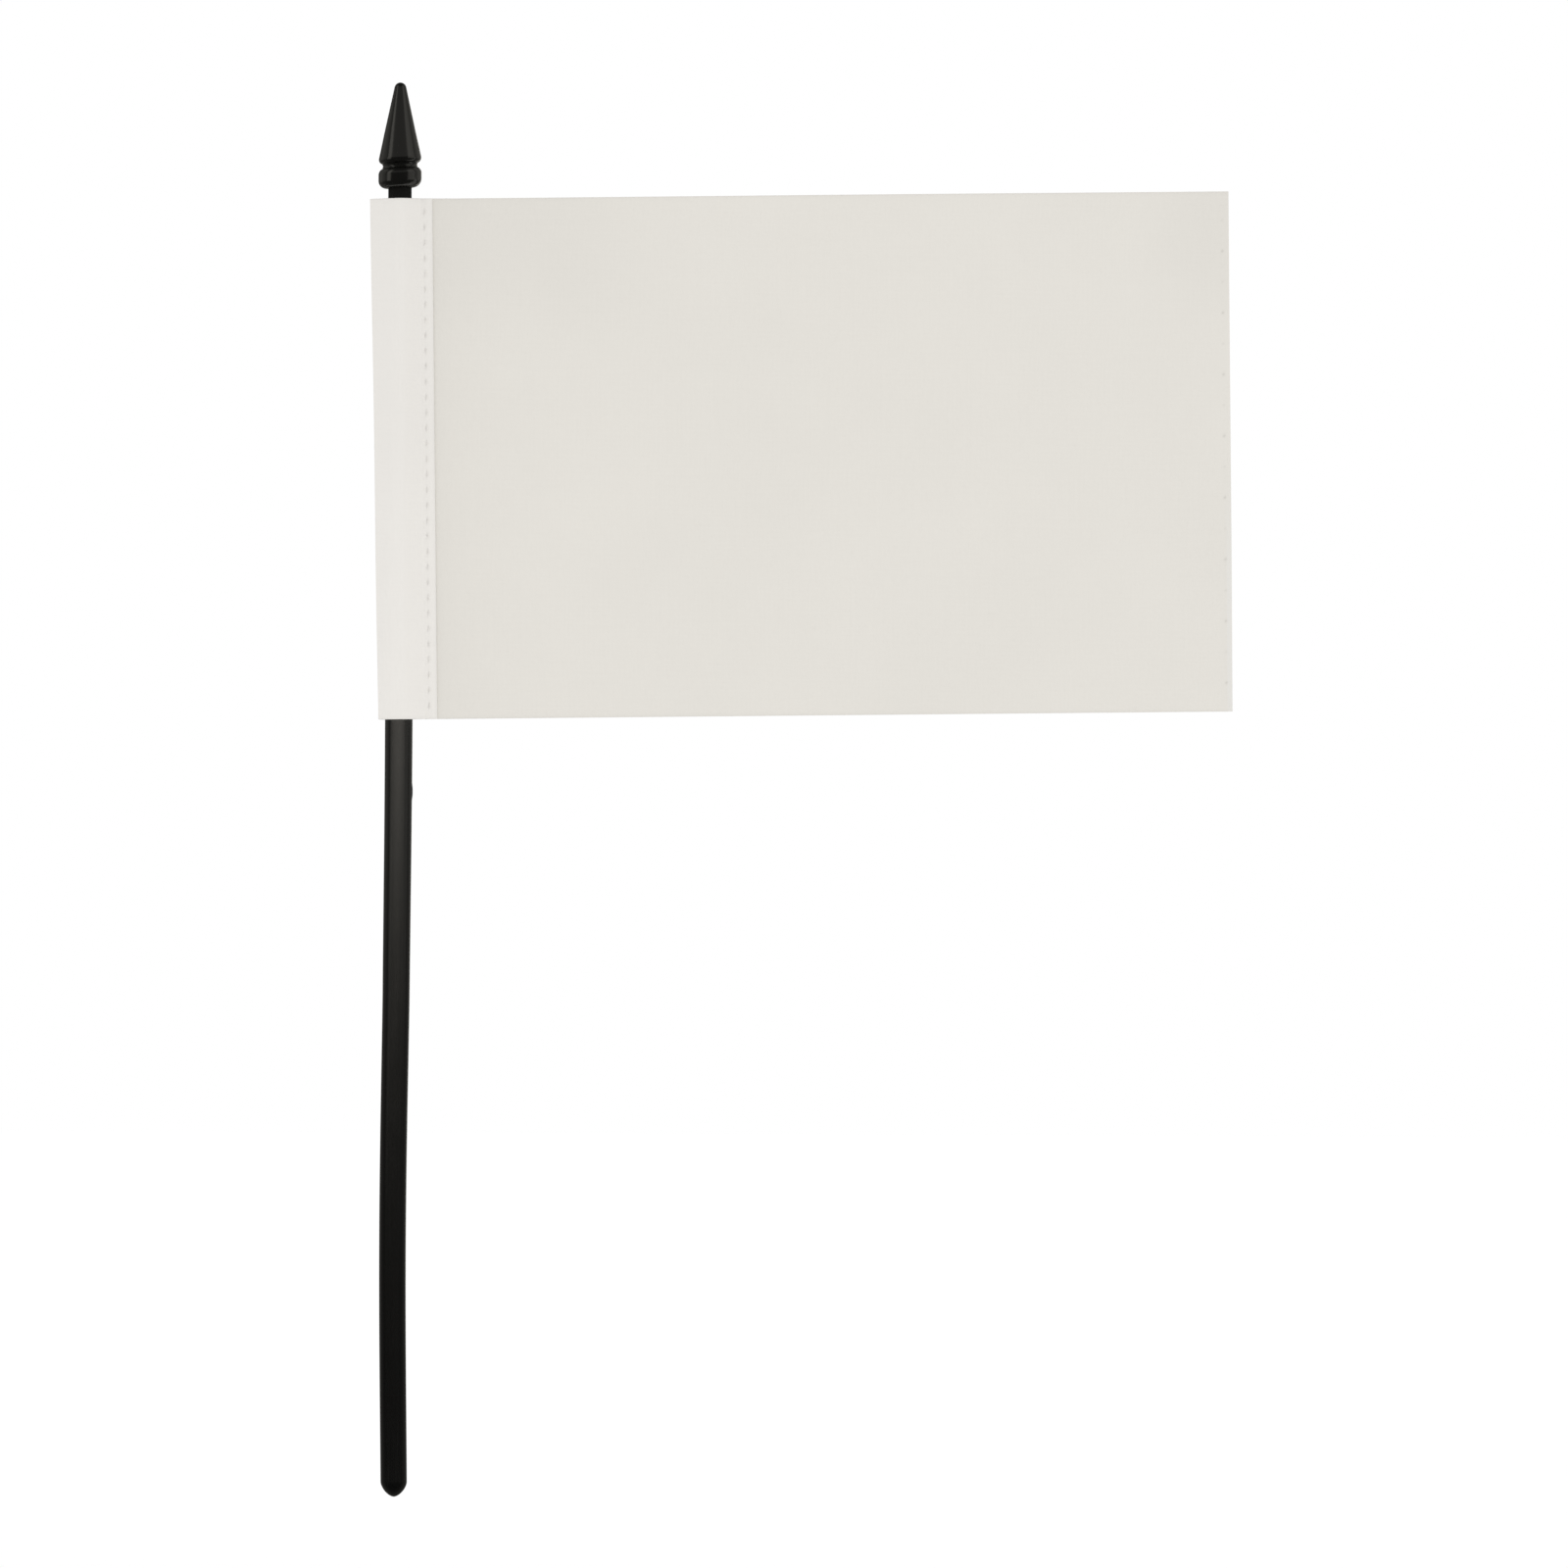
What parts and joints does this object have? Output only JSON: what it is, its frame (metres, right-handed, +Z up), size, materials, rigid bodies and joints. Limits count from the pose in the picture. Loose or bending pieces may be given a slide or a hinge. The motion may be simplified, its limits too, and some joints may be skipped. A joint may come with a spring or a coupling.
{
  "type": "table flag on pole",
  "caption": "Small plain cloth table flag with a sewn pole sleeve, on a black plastic pole with a rounded foot and a push-on spear finial.",
  "frame": {"origin": "tip of the pole's rounded foot, on the pole's axis", "axes": "+Z up the pole towards the finial, +X from the pole towards the flag's fly edge, -Y out of the face that carries the sleeve's flap"},
  "size_m": [0.1677, 0.0084, 0.2749],
  "materials": {
    "pole_plastic": "satin black moulded plastic",
    "finial_plastic": "glossy black moulded plastic",
    "flag_fabric": "plain warm off-white polyester, fine plain weave",
    "seam_thread": "off-white polyester sewing thread"
  },
  "bodies": {
    "pole": {"pole": "pole_plastic"},
    "flag": {"flag_cloth": "flag_fabric", "sleeve_needle_thread": "seam_thread", "sleeve_bobbin_thread": "seam_thread", "hem_needle_thread": "seam_thread", "hem_bobbin_thread": "seam_thread"},
    "finial": {"finial": "finial_plastic"}
  },
  "joints": [
    {"name": "flag_turn", "type": "hinge", "parent": "pole", "child": "flag", "pos_m": [0, 0, 0.2017], "axis": [0, 0, 1], "continuous": true},
    {"name": "finial_pull", "type": "slide", "parent": "pole", "child": "finial", "axis": [0, 0, 1], "range_m": [0, 0.0105]}
  ]
}
